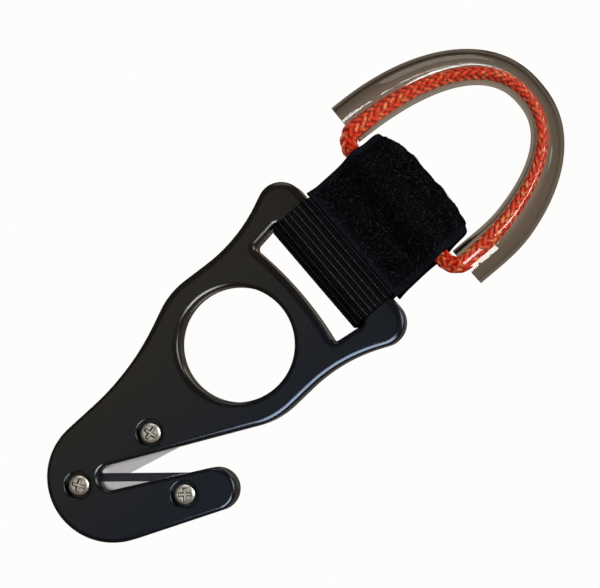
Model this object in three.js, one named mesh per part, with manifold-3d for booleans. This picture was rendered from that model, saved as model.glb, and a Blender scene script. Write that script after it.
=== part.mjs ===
// Rigging knife: a hook knife with a finger ring, a webbing strap and a cord pull loop.
//
// Units are millimetres. X runs across the knife, Y from its front face to its back face, and
// Z from the heel of the hook up to the pull loop. Every size below is measured from the centre
// of the finger hole, half way through the thickness, and the finished group is then lifted so
// that the heel stands at Z = 0.
//
// Two plates clamp two blades between them with three screws. A ribbed strap is folded round
// the bar above the finger ring, and a pile tape is folded over the strap and sewn through it.
// A cord runs through the strap and a clear tube.
import * as THREE from "three";
import { mergeVertices } from "three/addons/utils/BufferGeometryUtils.js";
import Module from "manifold-3d";

const wasm = await Module();
wasm.setup();

// ---------------------------------------------------------------- driving dimensions

const FACET_SAG = 0.04; // how far a flat facet may lie inside its true arc
const CUT_PAST = 1; // how far a cutting tool runs past the face that it cuts

// Plates
const PLATE_THICKNESS = 3;
const PLATE_EDGE = 0.8; // rounding of the outer edges
const FINGER_HOLE_RADIUS = 13.6;
const RING = { x: 0, z: -0.6, r: 19.35 };
const LOBE = { x: 17.9, z: 29, r: 5.7 };
const WAIST = { x: 57.9, z: 8.9, r: -39 };
const BODY_SIDE = { x: -73.4, z: -37, r: -62.5 };
const HEEL = { x: 4.8, z: -42.2, r: 15.5 };
const JAW_TIP = { x: 22.4, z: -26.2, r: 5.2 };
const MOUTH_END = { x: 4.52, z: -42.81, r: -2.95 };
const MOUTH_ANGLE = THREE.MathUtils.degToRad(63.6);

// Window for the strap, with the bar above it
const WINDOW_TOP = 26.4;
const WINDOW_CROWN = { x: 0, z: -66.1, r: -85 };
const WINDOW_LOW_CORNER = { x: 13.6, z: 19, r: 1.2 };
const WINDOW_HIGH_CORNER = { x: 14.1, z: WINDOW_TOP - 1.5, r: 1.5 };

// Screws, M3 with a low pan head: places are [along, across] the mouth, from its closed end
const SCREW_PLACES = {
  upper_jaw_screw: [11.7, 7.8],
  lower_jaw_screw: [16, -8.1],
  heel_screw: [-7.6, 0],
};
const SCREW_RADIUS = 1.45;
const SCREW_TIP = 2.75;
const HEAD_RADIUS = 2.5;
const HEAD_TOP = -2.85;
const HEAD_SEAT = -1.55;
const HEAD_CROWN = [
  [1, 0], // each is [in from the rim, down from the top]
  [0.4, 0.15],
  [0.1, 0.45],
  [0, 0.75],
];
const TIP_CHAMFER = 0.3;
const COUNTERBORE_RADIUS = 3.15;
const COUNTERBORE_FLOOR = -1.5;
const CLEARANCE_HOLE_RADIUS = 1.65;
const TAPPED_HOLE_RADIUS = 1.52;
const CROSS_SLOT = { length: 3, width: 0.75, depth: 0.8 };
const SCREW_TURNS = [0.25, 0.9, 0.6];
const SCREW_SIDES = 20;

// Blades: two alike, laid flat side to flat side, crossing where the V begins
const BLADE_APEX = 4.1; // from the mouth's closed end
const BLADE_HALF_ANGLE = THREE.MathUtils.degToRad(13.6);
const BLADE_THICKNESS = 0.6;
const BLADE_EDGE = 0.05; // thickness left at the cutting edge
const BLADE_WIDTH = 9;
const BLADE_BEVEL = 2;
const BLADE_REAR = -11.4; // end with the notch, measured along the edge from the apex
const BLADE_FRONT = 17;
const BLADE_NOTCH = { along: BLADE_REAR, in: 2.75, r: 1.6 };
const BLADE_SLOT = { from: 9.2, to: 13.5, in: 5.43, r: 1.95 };
const BLADE_GAP = 0.02; // from the parting plane to each blade's flat side
const POCKET_PLAY = 0.15; // round a blade's outline
const POCKET_PLAY_BEHIND = 0.03; // behind a blade's bevelled face

// Strap: webbing folded round the bar, and pile tape folded over the top
const WEBBING_HALF_WIDTH = 15;
const WRAP_INNER = 3.3;
const WRAP_THICKNESS = 1.4;
const WRAP_TOP = 35; // inside face above the bar
const WRAP_CORNER = 1.2; // inside corners above the bar
const WRAP_BEND = 27.9; // centre of the bend below the bar
const FOLD_AXIS = 39.2; // height at which the strap bends
const CORD_AXIS = 49.9; // height at which the cord runs through the strap
const TAB_HALF = 1.3;
const TAB_TOP = 58;
const TUNNEL_RADIUS = 2.5;
const TAB_BULGE = 3.75;
const TAPE_HALF_WIDTH = 16;
const TAPE_GAP = 0.15;
const TAPE_THICKNESS = 1.15;
const TAPE_FOLD = 57.8;
const TAPE_OPENING = 5; // how far below the fold axis the space inside the tape is cut
const HOLLOW_RADIUS = 5; // fillet where the layers close up again beside the cord

// Lockstitch seams
const SEAM_HEIGHTS = { lower: 43.6, upper: 56.7 };
const STITCHES = 9;
const STITCH_LENGTH = 2.9;
const THREAD_RADIUS = 0.16;
const THREAD_LIFT = 0.2; // thread centre above the tape's face
const NEEDLE_HOLE_RADIUS = 0.55;
const NEEDLE_REACH = 6; // past the tape's faces on both sides

// Pull loop
const LOOP_BASE = 50.4; // centre of the superellipse that the loop follows
const LOOP_POWER = 2.25;
const TUBE_PATH = { half: 22.5, rise: 40.3 };
const CORD_PATH = { half: 21.3, rise: 39.8 };
const TUBE_END = 52.8;
const TUBE_RADIUS = 5.05;
const TUBE_WALL = 1;
const TUBE_FLATTENING = 1.15; // the bend flattens the tube in its own plane at the top
const TUBE_SPREAD = 0.7; // and widens it front to back
const CORD_RADIUS = 2;
const CORD_BEND_START = 16.6;
const CORD_JOIN_GAP = 0.3;
const SLEEVE = { half: 5, inner: 2.06, outer: 2.36 };
const TUBE_SIDES = 20;
const TUBE_STEPS = 34;
const CORD_SIDES = 10;
const CORD_STEPS = 34;
const CORD_BEND_STEPS = 5;

// ---------------------------------------------------------------- shape helpers

const add = (a, b) => ({ x: a.x + b.x, z: a.z + b.z });
const mirrored = (peg) => ({ x: -peg.x, z: peg.z, r: peg.r });

function arcSteps(radius, turn) {
  const step = 2 * Math.acos(1 - FACET_SAG / Math.max(Math.abs(radius), 0.3));
  return Math.max(1, Math.ceil(Math.abs(turn) / step));
}

// A closed outline drawn as a belt round pegs {x, z, r}. It turns left round a positive
// radius and right round a negative one, and runs straight between one peg and the next.
function belt(pegs) {
  const headings = pegs.map((peg, i) => {
    const next = pegs[(i + 1) % pegs.length];
    const dx = next.x - peg.x;
    const dz = next.z - peg.z;
    const lean = THREE.MathUtils.clamp((peg.r - next.r) / Math.hypot(dx, dz), -1, 1);
    return Math.atan2(dz, dx) + Math.asin(lean);
  });
  const points = [];
  pegs.forEach((peg, i) => {
    const arriving = headings[(i + pegs.length - 1) % pegs.length];
    const side = Math.sign(peg.r);
    const turn = side * THREE.MathUtils.euclideanModulo(side * (headings[i] - arriving), 2 * Math.PI);
    const steps = arcSteps(peg.r, turn);
    for (let k = 0; k <= steps; k++) {
      const heading = arriving + (turn * k) / steps;
      points.push(
        new THREE.Vector2(peg.x + peg.r * Math.sin(heading), peg.z - peg.r * Math.cos(heading)),
      );
    }
  });
  return points;
}

function circle(x, z, radius) {
  const steps = Math.max(6, arcSteps(radius, 2 * Math.PI));
  return Array.from({ length: steps }, (_, k) => {
    const angle = (2 * Math.PI * k) / steps;
    return new THREE.Vector2(x + radius * Math.cos(angle), z + radius * Math.sin(angle));
  });
}

// An outline in X and Z, given thickness from yFront to yBack.
function slab(outline, yFront, yBack, holes = [], edge = 0) {
  const shape = new THREE.Shape(outline);
  shape.holes = holes.map((hole) => new THREE.Path(hole));
  const geometry = new THREE.ExtrudeGeometry(shape, {
    depth: yBack - yFront - 2 * edge,
    bevelEnabled: edge > 0,
    bevelThickness: edge,
    bevelSize: edge,
    bevelOffset: -edge,
    bevelSegments: 3,
  });
  return geometry.rotateX(Math.PI / 2).translate(0, yBack - edge, 0);
}

// An outline in Y and Z, drawn with x standing for Y, given width from -halfWidth to halfWidth.
function ribbon(outline, halfWidth) {
  const geometry = new THREE.ExtrudeGeometry(new THREE.Shape(outline), {
    depth: 2 * halfWidth,
    bevelEnabled: false,
  });
  return geometry.translate(0, 0, -halfWidth).rotateY(Math.PI / 2).rotateX(Math.PI / 2);
}

// A round rod along a path that lies in one plane. radiiAt(t) gives the radius along the
// plane's normal and the radius within the plane, for t from 0 to 1 along the path.
function rod(path, normal, sides, radiiAt) {
  const last = path.length - 1;
  const rings = path.map((point, i) => {
    const into = point.clone().sub(path[Math.max(i - 1, 0)]).normalize();
    const out = path[Math.min(i + 1, last)].clone().sub(point).normalize();
    const heading = into.clone().add(out).normalize();
    const across = new THREE.Vector3().crossVectors(heading, normal);
    const mitre = 1 / Math.max(heading.dot(i < last ? out : into), 0.5);
    const [high, wide] = radiiAt(i / last);
    return Array.from({ length: sides }, (_, k) => {
      const angle = (2 * Math.PI * k) / sides;
      return point
        .clone()
        .addScaledVector(normal, high * Math.cos(angle))
        .addScaledVector(across, wide * mitre * Math.sin(angle));
    });
  });
  const corners = [...rings.flat(), path[0], path[last]];
  const start = corners.length - 2;
  const faces = [];
  for (let k = 0; k < sides; k++) {
    const n = (k + 1) % sides;
    faces.push(start, n, k, start + 1, last * sides + k, last * sides + n);
    for (let i = 0; i < last; i++) {
      const a = i * sides;
      const b = a + sides;
      faces.push(a + k, a + n, b + k, a + n, b + n, b + k);
    }
  }
  const geometry = new THREE.BufferGeometry().setFromPoints(corners);
  geometry.setIndex(faces);
  return geometry;
}

function solid(geometry) {
  const bare = geometry.index ? geometry.toNonIndexed() : geometry.clone();
  bare.deleteAttribute("normal");
  bare.deleteAttribute("uv");
  const merged = mergeVertices(bare, 1e-4);
  return new wasm.Manifold(
    new wasm.Mesh({
      numProp: 3,
      vertProperties: merged.attributes.position.array,
      triVerts: new Uint32Array(merged.index.array),
    }),
  );
}

function geometryOf(manifold) {
  const mesh = manifold.getMesh();
  const geometry = new THREE.BufferGeometry();
  geometry.setAttribute("position", new THREE.BufferAttribute(mesh.vertProperties, 3));
  geometry.setIndex(new THREE.BufferAttribute(mesh.triVerts, 1));
  const flat = geometry.toNonIndexed();
  flat.computeVertexNormals();
  return flat;
}

const cut = (body, ...tools) => tools.reduce((left, tool) => left.subtract(solid(tool)), body);

function roundBar(radius, yFront, yBack, at) {
  return slab(circle(at.x, at.z, radius), yFront, yBack);
}

function block(sizeX, sizeY, sizeZ, x, y, z) {
  return new THREE.BoxGeometry(sizeX, sizeY, sizeZ).translate(x, y, z);
}

// ---------------------------------------------------------------- materials

const material = (color, roughness, metalness) =>
  new THREE.MeshStandardMaterial({ color, roughness, metalness });
const anodised = material(0x17181a, 0.35, 0.4);
const bladeSteel = material(0xb9bcc0, 0.25, 1);
const screwSteel = material(0xc9c2b2, 0.35, 1);
const webbingBlack = material(0x101114, 0.8, 0);
const pileBlack = material(0x0b0b0d, 1, 0);
const threadBlack = material(0x18191c, 0.7, 0);
const cordRed = material(0xd8321a, 0.55, 0);
const sleeveWhite = material(0xd9d4c8, 0.7, 0);
const clearPvc = new THREE.MeshStandardMaterial({
  color: 0xd8d2c6,
  roughness: 0.1,
  metalness: 0,
  transparent: true,
  opacity: 0.35,
});

const knife = new THREE.Group();

function place(name, geometry, finish, parent = knife) {
  const mesh = new THREE.Mesh(geometry, finish);
  mesh.name = name;
  parent.add(mesh);
  return mesh;
}

// ---------------------------------------------------------------- places in the mouth

// A point given along the mouth from its closed end, and across it to the left.
function mouthPoint(along, across) {
  const cos = Math.cos(MOUTH_ANGLE);
  const sin = Math.sin(MOUTH_ANGLE);
  return add(MOUTH_END, { x: along * cos - across * sin, z: along * sin + across * cos });
}

const screwPoints = Object.values(SCREW_PLACES).map((place) => mouthPoint(...place));

// Moves a blade, or the pocket for one, from its own axes (X along the edge, Z away from it,
// Y from its flat side) to its place. The lower one is the same thing turned over.
function atBlade(geometry, upper) {
  const apex = mouthPoint(BLADE_APEX, 0);
  const turned = upper ? geometry : geometry.rotateX(Math.PI);
  const angle = MOUTH_ANGLE + (upper ? BLADE_HALF_ANGLE : -BLADE_HALF_ANGLE);
  return turned.rotateY(-angle).translate(apex.x, 0, apex.z);
}

// ---------------------------------------------------------------- plates

const plateOutline = belt([
  LOBE,
  mirrored(LOBE),
  mirrored(WAIST),
  RING,
  BODY_SIDE,
  HEEL,
  JAW_TIP,
  MOUTH_END,
  RING,
  WAIST,
]);
const windowOutline = belt([
  mirrored(WINDOW_LOW_CORNER),
  WINDOW_CROWN,
  WINDOW_LOW_CORNER,
  WINDOW_HIGH_CORNER,
  mirrored(WINDOW_HIGH_CORNER),
]);

function bladePocket(upper) {
  const length = BLADE_FRONT - BLADE_REAR + 2 * POCKET_PLAY;
  const depth = BLADE_GAP + BLADE_THICKNESS + POCKET_PLAY_BEHIND;
  const tool = block(
    length,
    depth + CUT_PAST,
    BLADE_WIDTH + 2 * POCKET_PLAY,
    (BLADE_FRONT + BLADE_REAR) / 2,
    (depth - CUT_PAST) / 2,
    BLADE_WIDTH / 2,
  );
  return atBlade(tool, upper);
}

function makePlates() {
  const fingerHole = circle(0, 0, FINGER_HOLE_RADIUS);
  const both = solid(
    slab(plateOutline, -PLATE_THICKNESS, PLATE_THICKNESS, [fingerHole, windowOutline], PLATE_EDGE),
  );
  const [backHalf, frontHalf] = both.splitByPlane([0, 1, 0], 0);
  const frontTools = screwPoints.flatMap((at) => [
    roundBar(CLEARANCE_HOLE_RADIUS, -PLATE_THICKNESS - CUT_PAST, CUT_PAST, at),
    roundBar(COUNTERBORE_RADIUS, -PLATE_THICKNESS - CUT_PAST, COUNTERBORE_FLOOR, at),
  ]);
  const backTools = screwPoints.map((at) =>
    roundBar(TAPPED_HOLE_RADIUS, -CUT_PAST, PLATE_THICKNESS + CUT_PAST, at),
  );
  place("front_plate", geometryOf(cut(frontHalf, ...frontTools, bladePocket(false))), anodised);
  place("back_plate", geometryOf(cut(backHalf, ...backTools, bladePocket(true))), anodised);
}

// ---------------------------------------------------------------- blades and screws

// One blade in its own axes: the edge lies along X, Z runs from the edge to the spine, and the
// flat side faces -Y. A round notch at the rear and a long slot let the screws past.
function makeBlade() {
  const section = new THREE.Shape([
    new THREE.Vector2(0, 0),
    new THREE.Vector2(-BLADE_WIDTH, 0),
    new THREE.Vector2(-BLADE_WIDTH, BLADE_THICKNESS),
    new THREE.Vector2(-BLADE_BEVEL, BLADE_THICKNESS),
    new THREE.Vector2(0, BLADE_EDGE),
  ]);
  const strip = new THREE.ExtrudeGeometry(section, {
    depth: BLADE_FRONT - BLADE_REAR,
    bevelEnabled: false,
  });
  const turn = new THREE.Matrix4().makeBasis(
    new THREE.Vector3(0, 0, -1),
    new THREE.Vector3(0, 1, 0),
    new THREE.Vector3(1, 0, 0),
  );
  strip.applyMatrix4(turn).translate(BLADE_REAR, BLADE_GAP, 0);
  const notchAt = { x: BLADE_NOTCH.along, z: BLADE_NOTCH.in };
  const notch = roundBar(BLADE_NOTCH.r, -CUT_PAST, CUT_PAST, notchAt);
  const slot = belt([
    { x: BLADE_SLOT.from, z: BLADE_SLOT.in, r: BLADE_SLOT.r },
    { x: BLADE_SLOT.to, z: BLADE_SLOT.in, r: BLADE_SLOT.r },
  ]);
  return geometryOf(cut(solid(strip), notch, slab(slot, -CUT_PAST, CUT_PAST)));
}

// A pan head screw along Y, its head towards -Y, with a cross recess turned by an angle.
function makeScrew(angle) {
  const profile = [
    [0, HEAD_TOP],
    ...HEAD_CROWN.map(([inset, drop]) => [HEAD_RADIUS - inset, HEAD_TOP + drop]),
    [HEAD_RADIUS, HEAD_SEAT],
    [SCREW_RADIUS, HEAD_SEAT],
    [SCREW_RADIUS, SCREW_TIP - TIP_CHAMFER],
    [SCREW_RADIUS - TIP_CHAMFER, SCREW_TIP],
    [0, SCREW_TIP],
  ].map(([radius, y]) => new THREE.Vector2(radius, y));
  const turned = new THREE.LatheGeometry(profile, SCREW_SIDES);
  const { length, width, depth } = CROSS_SLOT;
  const slots = [0, Math.PI / 2].map((quarter) =>
    block(length, 2 * depth, width, 0, HEAD_TOP, 0).rotateY(quarter + angle),
  );
  return geometryOf(cut(solid(turned), ...slots));
}

function makeFasteners() {
  const blade = makeBlade();
  place("upper_blade", atBlade(blade.clone(), true), bladeSteel);
  place("lower_blade", atBlade(blade.clone(), false), bladeSteel);
  Object.entries(SCREW_PLACES).forEach(([name, where], i) => {
    const at = mouthPoint(...where);
    const screw = place(name, makeScrew(SCREW_TURNS[i]), screwSteel);
    screw.position.set(at.x, 0, at.z);
  });
}

// ---------------------------------------------------------------- strap

// Outline in Y and Z of the layers above the fold, with the cord's bulge in both faces. The
// lower end is round about the fold's axis, so that it clears the bar at every angle.
function layersOutline(half, top, low = FOLD_AXIS) {
  const bulge = TAB_BULGE + half - TAB_HALF;
  const fillet = HOLLOW_RADIUS - (half - TAB_HALF);
  const side = half + fillet;
  const rise = Math.sqrt((bulge + fillet) ** 2 - side ** 2);
  const right = [
    { x: side, z: CORD_AXIS - rise, r: -fillet },
    { x: 0, z: CORD_AXIS, r: bulge },
    { x: side, z: CORD_AXIS + rise, r: -fillet },
  ];
  const left = right.map(mirrored).reverse();
  return belt([{ x: 0, z: low, r: half }, ...right, { x: 0, z: top, r: half }, ...left]);
}

function makeWebbing() {
  const wrapOutline = (grow) =>
    belt([
      { x: 0, z: WRAP_BEND, r: WRAP_INNER + grow },
      { x: WRAP_INNER - WRAP_CORNER, z: WRAP_TOP - WRAP_CORNER, r: WRAP_CORNER + grow },
      { x: WRAP_CORNER - WRAP_INNER, z: WRAP_TOP - WRAP_CORNER, r: WRAP_CORNER + grow },
    ]);
  const wrap = solid(ribbon(wrapOutline(WRAP_THICKNESS), WEBBING_HALF_WIDTH));
  const inside = ribbon(wrapOutline(0), WEBBING_HALF_WIDTH + CUT_PAST);
  place("webbing_wrap", geometryOf(cut(wrap, inside)), webbingBlack);

  const tabOutline = layersOutline(TAB_HALF, TAB_TOP - TAB_HALF);
  const tunnel = ribbon(circle(0, CORD_AXIS, TUNNEL_RADIUS), WEBBING_HALF_WIDTH + CUT_PAST);
  const tab = cut(solid(ribbon(tabOutline, WEBBING_HALF_WIDTH)), tunnel, ...needleHoles());
  place("webbing_tab", geometryOf(tab), webbingBlack);
}

// The pile tape lies outside the webbing on both faces and is folded over its top.
function makeTape() {
  const inner = TAB_HALF + TAPE_GAP;
  const outside = ribbon(layersOutline(inner + TAPE_THICKNESS, TAPE_FOLD), TAPE_HALF_WIDTH);
  const coreOutline = layersOutline(inner, TAPE_FOLD, FOLD_AXIS - TAPE_OPENING);
  const core = ribbon(coreOutline, TAPE_HALF_WIDTH + CUT_PAST);
  place("pile_tape", geometryOf(cut(solid(outside), core, ...needleHoles())), pileBlack);
}

// ---------------------------------------------------------------- seams

const seamHalf = ((STITCHES - 1) * STITCH_LENGTH) / 2;
const stitchPlaces = Array.from({ length: STITCHES }, (_, k) => k * STITCH_LENGTH - seamHalf);

function needleHoles() {
  return Object.values(SEAM_HEIGHTS).flatMap((z) =>
    stitchPlaces.map((x) => roundBar(NEEDLE_HOLE_RADIUS, -NEEDLE_REACH, NEEDLE_REACH, { x, z })),
  );
}

// One row of thread: a run along each face, joined through the layers at every needle hole.
function makeSeam(name, height) {
  const faceY = TAB_HALF + TAPE_GAP + TAPE_THICKNESS + THREAD_LIFT;
  const size = 2 * THREAD_RADIUS;
  const run = (y) => block(2 * seamHalf + size, size, size, 0, y, height);
  const rungs = stitchPlaces.map((x) => block(size, 2 * faceY, size, x, 0, height));
  const thread = [run(faceY), ...rungs].reduce(
    (joined, piece) => joined.add(solid(piece)),
    solid(run(-faceY)),
  );
  place(name, geometryOf(thread), threadBlack);
}

// ---------------------------------------------------------------- pull loop

// Points of the pull loop from its right leg over the top to its left leg, starting and ending
// at the height given.
function loopPath({ half, rise }, height, steps) {
  const start = Math.asin(((height - LOOP_BASE) / rise) ** (LOOP_POWER / 2));
  return Array.from({ length: steps + 1 }, (_, k) => {
    const angle = start + ((Math.PI - 2 * start) * k) / steps;
    const cos = Math.cos(angle);
    const x = half * Math.sign(cos) * Math.abs(cos) ** (2 / LOOP_POWER);
    return new THREE.Vector3(x, 0, LOOP_BASE + rise * Math.sin(angle) ** (2 / LOOP_POWER));
  });
}

const acrossLoop = new THREE.Vector3(0, 1, 0);

function makeTube() {
  const path = loopPath(TUBE_PATH, TUBE_END, TUBE_STEPS);
  // The bend flattens the tube most at the top of the loop, and leaves its two ends round.
  const radii = (shrink) => (t) => {
    const bend = Math.sin(Math.PI * THREE.MathUtils.clamp(t, 0, 1)) ** 3;
    const across = TUBE_RADIUS - shrink + TUBE_SPREAD * bend;
    return [across, TUBE_RADIUS - shrink - TUBE_FLATTENING * bend];
  };
  const longer = [
    path[0].clone().multiplyScalar(2).sub(path[1]),
    ...path,
    path[TUBE_STEPS].clone().multiplyScalar(2).sub(path[TUBE_STEPS - 1]),
  ];
  const stretch = (TUBE_STEPS + 2) / TUBE_STEPS;
  const inner = (t) => radii(TUBE_WALL)(t * stretch - 1 / TUBE_STEPS);
  const outside = solid(rod(path, acrossLoop, TUBE_SIDES, radii(0)));
  const tube = cut(outside, rod(longer, acrossLoop, TUBE_SIDES, inner));
  place("clear_tube", geometryOf(tube), clearPvc);
}

// The cord's two ends meet in the middle of the strap's tunnel, inside a sleeve.
function makeCord() {
  const bendRadius = CORD_PATH.half - CORD_BEND_START;
  const bend = Array.from({ length: CORD_BEND_STEPS }, (_, k) => {
    const angle = (Math.PI / 2) * (k / CORD_BEND_STEPS);
    return new THREE.Vector3(
      CORD_BEND_START + bendRadius * Math.sin(angle),
      0,
      CORD_AXIS + bendRadius * (1 - Math.cos(angle)),
    );
  });
  const half = [new THREE.Vector3(CORD_JOIN_GAP / 2, 0, CORD_AXIS), ...bend];
  const other = half.map((point) => new THREE.Vector3(-point.x, 0, point.z)).reverse();
  const path = [...half, ...loopPath(CORD_PATH, CORD_AXIS + bendRadius, CORD_STEPS), ...other];
  const cord = rod(path, acrossLoop, CORD_SIDES, () => [CORD_RADIUS, CORD_RADIUS]);
  place("pull_cord", geometryOf(solid(cord)), cordRed);

  const sleeveAround = (radius, halfLength) => ribbon(circle(0, CORD_AXIS, radius), halfLength);
  const sleeve = cut(
    solid(sleeveAround(SLEEVE.outer, SLEEVE.half)),
    sleeveAround(SLEEVE.inner, SLEEVE.half + CUT_PAST),
  );
  place("cord_join_sleeve", geometryOf(sleeve), sleeveWhite);
}

makePlates();
makeFasteners();
makeWebbing();
makeTape();
Object.entries(SEAM_HEIGHTS).forEach(([which, height]) => makeSeam(`${which}_seam`, height));
makeTube();
makeCord();
knife.position.z = HEEL.r - HEEL.z;

export default knife;
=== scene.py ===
"""Rigging knife: the looks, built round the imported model.

Lengths in this script are millimetres, measured from the centre of the finger hole and half way
through the knife's thickness; X runs across it, Y from its front face to its back face and Z
towards the pull loop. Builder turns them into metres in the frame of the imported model.
"""

import math
import random

import bmesh
import bpy
import numpy as np
from mathutils import Matrix, Vector, noise
from mathutils.geometry import tessellate_polygon


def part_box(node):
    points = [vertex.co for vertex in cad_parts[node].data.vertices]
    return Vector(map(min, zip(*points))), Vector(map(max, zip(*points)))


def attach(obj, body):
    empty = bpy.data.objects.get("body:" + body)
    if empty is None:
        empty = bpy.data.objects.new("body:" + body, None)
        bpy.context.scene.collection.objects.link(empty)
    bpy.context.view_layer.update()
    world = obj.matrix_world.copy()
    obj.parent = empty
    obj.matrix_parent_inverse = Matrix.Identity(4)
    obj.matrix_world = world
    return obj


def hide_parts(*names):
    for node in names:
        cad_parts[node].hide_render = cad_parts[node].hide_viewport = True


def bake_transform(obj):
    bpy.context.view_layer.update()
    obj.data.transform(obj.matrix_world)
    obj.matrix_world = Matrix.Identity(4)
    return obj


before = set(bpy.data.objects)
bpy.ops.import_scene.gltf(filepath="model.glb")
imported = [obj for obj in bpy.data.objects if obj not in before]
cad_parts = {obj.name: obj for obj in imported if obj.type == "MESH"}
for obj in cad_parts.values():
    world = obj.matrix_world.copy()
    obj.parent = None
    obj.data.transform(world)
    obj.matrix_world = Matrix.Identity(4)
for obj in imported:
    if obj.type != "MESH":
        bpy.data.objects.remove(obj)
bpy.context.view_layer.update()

MM = 0.001
WHITE = (0.985, 0.98, 0.975, 1)
BELT_SAG = 0.004  # how far a straight step of an outline lies inside its arc
WELD = 0.0005  # points closer than this are joined
SHARP = {"plate": 38, "screw": 50, "soft": 60}  # edges that turn more degrees are drawn sharp

# ---------------------------------------------------------------- driving dimensions

# Plates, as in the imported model
PLATE = 3.0  # thickness of each plate
EDGE = 0.8  # depth of the rounding of the outer edges
EDGE_WIDTH = 1.1  # how far the rounding reaches in over the face
# The rounding reaches in further above the mouth and its screws, by this share of its width
WIDENING = {"from": -24, "to": -13, "by": 0.75}
PARTING = 0.02  # from the middle plane to each plate's inner face
PARTING_BREAK = 0.13  # broken edge along the parting line
FINGER_HOLE = 13.6
RING = (0, -0.6, 19.35)
LOBE = (17.9, 29, 5.7)
WAIST = (57.9, 8.9, -39)
BODY_SIDE = (-73.4, -37, -62.5)
HEEL = (4.8, -42.2, 15.5)
JAW_TIP = (22.4, -26.2, 5.2)
MOUTH_END = (4.52, -42.81, -2.95)
MOUTH_ANGLE = math.radians(63.6)
WINDOW_TOP = 26.4
WINDOW_CROWN = (0, -66.1, -85)
WINDOW_LOW = (13.6, 19, 1.2)
WINDOW_HIGH = (14.1, WINDOW_TOP - 1.5, 1.5)

# Screws: [along, across] the mouth from its closed end, and how far each one is turned
SCREWS = {
    "upper_jaw_screw": (11.7, 7.8, 0.25),
    "lower_jaw_screw": (16, -8.1, 0.9),
    "heel_screw": (-7.6, 0, 0.6),
}
SCREW_RADIUS = 1.45
SCREW_TIP = 2.75
TIP_CHAMFER = 0.3
HEAD_RADIUS = 2.5
HEAD_TOP = -2.85
HEAD_FLAT = 1.3  # radius of the flat middle of the head's top
HEAD_FALL = 0.75  # from there down to the rim
HEAD_SEAT = -1.55
HEAD_BREAK = 0.1
# Cross recess: its depth, its arms' reach and half width, and the widths of their slopes
RECESS = {"depth": 0.55, "reach": 1.65, "half": 0.5, "wall": 0.26, "end": 0.3}
COUNTERBORE = 3.15
COUNTERBORE_FLOOR = -1.5
COUNTERBORE_RIM = (0.42, 0.35)  # width and depth of its rounded rim
TAPPED_BREAK = 0.25
FACE_RING = 0.05  # a narrow flat ring outside a rounding, which keeps the face's shading flat
TAPPED_RING = 0.15
CLEARANCE_HOLE = 1.65
TAPPED_HOLE = 1.52

# Blade pockets
BLADE_APEX = 4.1
BLADE_HALF_ANGLE = math.radians(13.6)
POCKET = {"rear": -11.55, "front": 17.15, "width": 9.3, "depth": 0.65, "play": 0.15}
CUT_PAST = 1.0  # how far the cutting tool runs past the parting plane

# Strap
WEBBING_HALF = 15.0
WEBBING_THICKNESS = 1.3
BEND = (27.9, 4.0)  # height and radius of the webbing's bend below the bar
CLOSING = (33.0, 39.0)  # heights between which the two layers close up above the bar
LAYER = 0.75  # from the middle plane to each layer's middle, once they are closed
BULGE = (2.35, 3.1)  # how far each layer stands out beside the cord, and over what height
CORD_AXIS = 49.9
RIB_PITCH = 1.45
RIB_DEPTH = 0.16
RIB_STEPS = 11  # points along the webbing in one rib
KNUCKLE = (0.75, 0.045)  # pitch across the ribs of the yarn's knuckles, and their height
LINES = (28.4, 3.5)  # middle and half width of the ribs whose painted highlight runs in lines, down from the front's top
TAPE_HALF = 16.0
TAPE_THICKNESS = 1.05
TAPE_LOW = 35.8
TAPE_FOLD = 57.8
TAPE_STEP = 0.2  # between points along the tape
FABRIC_GAP = 0.1  # between the webbing and the tape
FABRIC_COLUMNS = 241  # points across the webbing and the tape
SELVEDGE = 1.5
PILE_SUNK = 0.42  # how far the selvedge lies below the pile
PILE_ENDS = 1.0  # length of tape without pile at both ends
FIBRES = 5200
FIBRE_RADIUS = 0.034
STRAP_LEAN = 0.9  # how far the strap's top lies to the left
LOWERED = {"left": 2.6, "right": 1.7, "waves": 0.22}  # how far the fold's corners hang
SEAMS = {"lower_seam": 43.6, "upper_seam": 56.4}
STITCHES = 9
STITCH = 2.9
THREAD_RADIUS = 0.17

# Pull loop
LOOP_BASE = 50.4
LOOP_POWER = 2.25
LOOP_STEPS = 400
LOOP_FACING = np.array([0, 1.0, 0])  # the direction across the loop's plane
TUBE_PATH = (22.5, 40.3)
CORD_PATH = (20.5, 39.35)
TUBE_END = 52.8
TUBE_RADIUS = 5.05
TUBE_WALL = 1.0
TUBE_FLATTENING = 1.35
TUBE_SPREAD = 0.7
TUBE_SIDES = 72
RIGHT_LEG_LEAN = 0.9  # how far the tube's right end has come in
CORD_BEND_START = 16.6
CORD_JOIN = 0.15  # from the middle of the strap to the cord's end
CORD_WIDE = (1.62, -0.46)  # radius of the braid in the loop's plane, and its change in the bend
CORD_HIGH = (1.45, 0.25)  # the same across the plane
BRAID_TURN = 16.4  # length of cord in which one strand goes once round
BRAID_STRANDS = 8  # each way
BRAID_LIFT = 0.2  # how far a strand rises and dips as it passes over and under
STRAND_WIDE = (0.56, -0.10)  # half width of a strand, and its change in the bend
STRAND_HIGH = 0.3
LOOP_OFFSET = -0.6  # the cord has run a little to one side through its tunnel

# Studio
EYE = (68, -353, 60)  # the camera's place
CENTRE = (0.8, 0, 19.07)  # what lies in the middle of the frame
FRAME_TURN = math.radians(49.5)  # from the frame's right edge to the knife's own X
LENS = 89.7
SENSOR = 36
SHIFT_FADES = 100 * MM  # distance from its own place at which the camera has no lens shift
LOOP_CENTRE = (0, 0, 65)
FLOOR_DROP = 45 * MM
FLOOR_REACH = 4.0

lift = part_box("front_plate")[0].z / MM - (HEEL[1] - HEEL[2])

# ---------------------------------------------------------------- mesh building


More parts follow.
